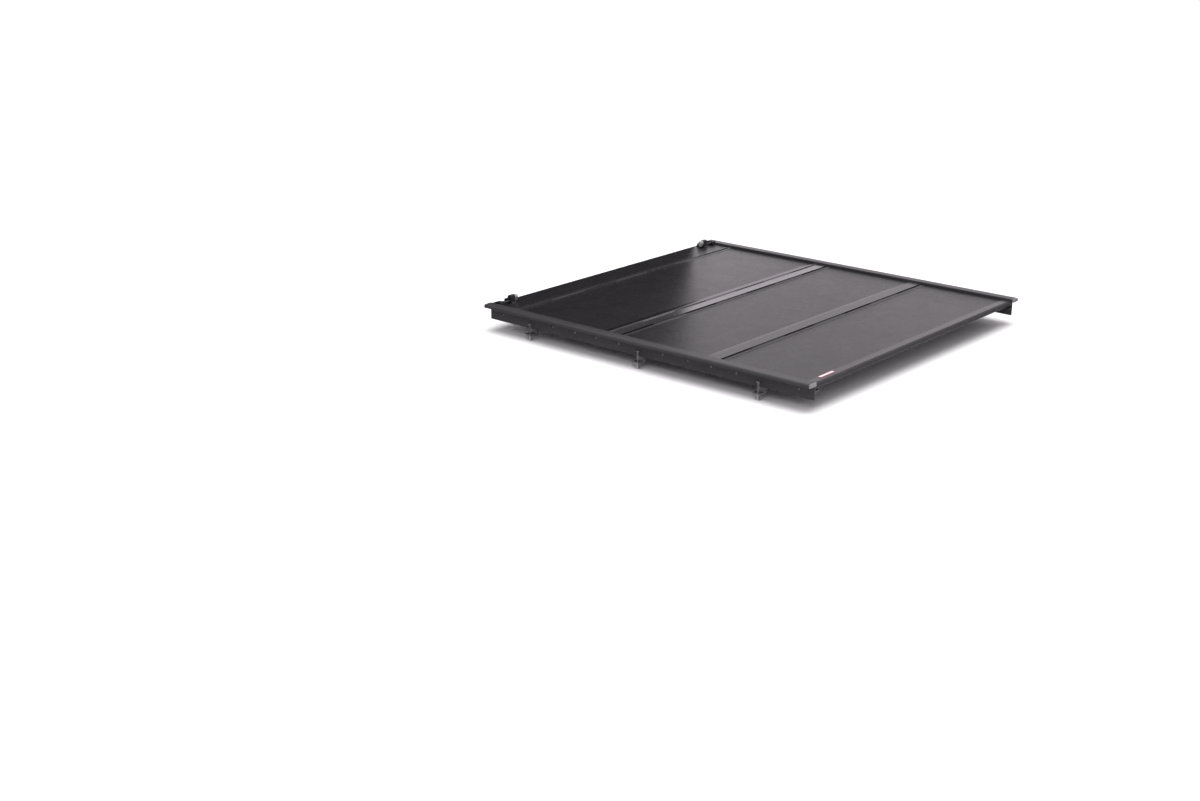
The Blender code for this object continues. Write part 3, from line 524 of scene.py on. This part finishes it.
def screw_mesh(bm, at, outward, radius, height):
    """Adds one button-head screw with a hexagonal socket, standing on a face and pointing away from it."""
    turn = Vector(outward).to_track_quat("Z", "Y").to_matrix().to_4x4()
    place = Matrix.Translation(at) @ turn
    angles = [2 * math.pi * k / SCREW_SIDES for k in range(SCREW_SIDES)]
    flats = [(a + math.pi / 6) % (math.pi / 3) - math.pi / 6 for a in angles]
    socket = [SOCKET_REACH / math.cos(flat) for flat in flats]
    outlines = [([share] * SCREW_SIDES, rise) for share, rise in SCREW_PROFILE]
    outlines += [(socket, level) for level in SOCKET_LEVELS]
    rings = []
    for shares, rise in outlines:
        reaches = [radius * share for share in shares]
        points = [(r * math.cos(a), r * math.sin(a), height * rise) for r, a in zip(reaches, angles)]
        rings.append([bm.verts.new(place @ Vector(p)) for p in points])
    for ring, following in zip(rings, rings[1:]):
        for k in range(SCREW_SIDES):
            j = (k + 1) % SCREW_SIDES
            bm.faces.new((ring[k], ring[j], following[j], following[k]))
    bm.faces.new(rings[-1])
    bm.faces.new(list(reversed(rings[0])))


def make_screws(name, body, places):
    """One piece of (place, direction, radius, height) screws that ride on a body."""
    bm = bmesh.new()
    for at, outward, radius, height in places:
        screw_mesh(bm, at, outward, radius, height)
    bmesh.ops.recalc_face_normals(bm, faces=bm.faces)
    piece = new_piece(name, bm, FINISHES["steel"])
    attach(piece, body)


def fasten():
    """Screws of the header locks, their keepers and the ledges."""
    up = (0, 0, 1)
    for side_name, side in SIDES.items():
        foot_low, foot_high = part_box(f"{side_name}_lock_body")
        keeper_low, keeper_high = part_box(f"{side_name}_lock_keeper")
        foot_middle = (foot_low.x + foot_high.x) / 2
        foot_top = foot_low.z + LOCK_FOOT_THICKNESS + SCREW_GAP
        keeper_middle = (keeper_low.x + keeper_high.x) / 2
        places = [
            ((foot_middle + side * across, foot_low.y + LOCK_SCREWS_IN, foot_top), up, *LOCK_SCREW_SIZE)
            for across in LOCK_SCREWS_ACROSS
        ]
        keeper_place = (keeper_middle, keeper_low.y + KEEPER_SCREW_IN, keeper_high.z + SCREW_GAP)
        make_screws(f"{side_name}_lock_screws", "frame", [*places, (keeper_place, up, *KEEPER_SCREW_SIZE)])

        rail_low, rail_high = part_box(f"{side_name}_rail")
        ledge_low, ledge_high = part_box(f"{side_name}_ledge")
        ledge_z = (ledge_low.z + ledge_high.z) / 2
        inner = rail_low.x if side > 0 else rail_high.x
        web_x = inner + side * (WEB_THICKNESS + SCREW_GAP)
        make_screws(f"{side_name}_ledge_screws", "frame", [
            ((web_x, y, ledge_z), (side, 0, 0), *LEDGE_SCREW_SIZE) for y in LEDGE_SCREWS_Y
        ])


def reflector_card(name, corners, finish):
    """Card that only reflections see."""
    bm = bmesh.new()
    bm.faces.new([bm.verts.new(c) for c in corners])
    card = new_piece(name, bm, finish)
    card.visible_camera = False
    card.visible_shadow = False
    card.visible_diffuse = False


def make_stage():
    """Floor, and the cards that only reflections see."""
    bpy.ops.mesh.primitive_plane_add(size=2 * FLOOR_HALF, location=(0, 0, FLOOR_Z))
    floor = bpy.context.object
    floor.name = "floor"
    floor.data.materials.append(floor_finish())

    dark = dark_card_finish()
    reflector_card("dark_card", DARK_CARD, dark)
    near, far = SIDE_CARD_Y
    height = FLOOR_Z + SIDE_CARD_RISE
    for side_name, side in SIDES.items():
        inner, outer = (side * x for x in SIDE_CARD_X)
        corners = [(inner, near, height), (outer, near, height), (outer, far, height), (inner, far, height)]
        reflector_card(f"{side_name}_side_card", corners, dark)
    reflector_card("bright_card", BRIGHT_CARD, bright_card_finish())


def area_light(name, at, size, power):
    """Soft square light at a place, turned towards the middle of the cover."""
    data = bpy.data.lights.new(name, "AREA")
    data.shape = "RECTANGLE"
    data.size = data.size_y = size
    data.energy = power
    lamp = bpy.data.objects.new(name, data)
    lamp.location = at
    lamp.rotation_euler = (Vector(COVER_MIDDLE) - Vector(at)).to_track_quat("-Z", "Y").to_euler()
    bpy.context.scene.collection.objects.link(lamp)


def make_light():
    """Even pale surround, a broad sky that metal doesn't mirror, and two soft lights."""
    world = bpy.data.worlds.new("studio")
    world.use_nodes = True
    background = world.node_tree.nodes["Background"]
    background.inputs["Color"].default_value = (*LIGHT_TINT, 1.0)
    background.inputs["Strength"].default_value = WORLD_LIGHT
    bpy.context.scene.world = world
    data = bpy.data.lights.new("sky", "SUN")
    data.energy = SKY_LIGHT
    data.angle = math.radians(SKY_SPREAD)
    sky = bpy.data.objects.new("sky", data)
    sky.visible_glossy = False
    bpy.context.scene.collection.objects.link(sky)
    area_light("overhead", OVERHEAD_AT, OVERHEAD_SIZE, OVERHEAD_POWER)
    area_light("side", SIDE_LIGHT_AT, SIDE_LIGHT_SIZE, SIDE_LIGHT_POWER)


def make_camera():
    """Camera a little above the cover, off its tailgate corner."""
    azimuth, elevation, roll = (math.radians(x) for x in (CAMERA_AZIMUTH, CAMERA_ELEVATION, CAMERA_ROLL))
    back = Vector((
        math.sin(azimuth) * math.cos(elevation),
        -math.cos(azimuth) * math.cos(elevation),
        math.sin(elevation),
    ))
    right = (-back).cross(Vector((0, 0, 1))).normalized()
    up = right.cross(-back)
    across = right * math.cos(roll) + up * math.sin(roll)
    over = up * math.cos(roll) - right * math.sin(roll)
    data = bpy.data.cameras.new("camera")
    data.lens = CAMERA_LENS
    data.sensor_width = CAMERA_SENSOR
    data.clip_end = CAMERA_REACH
    camera = bpy.data.objects.new("camera", data)
    camera.matrix_world = Matrix.Translation(CAMERA_AT) @ Matrix((across, over, back)).transposed().to_4x4()
    bpy.context.scene.collection.objects.link(camera)
    bpy.context.scene.camera = camera


dress()
make_camera()
fasten()
make_stage()
make_light()
bpy.context.scene.view_settings.view_transform = "Standard"
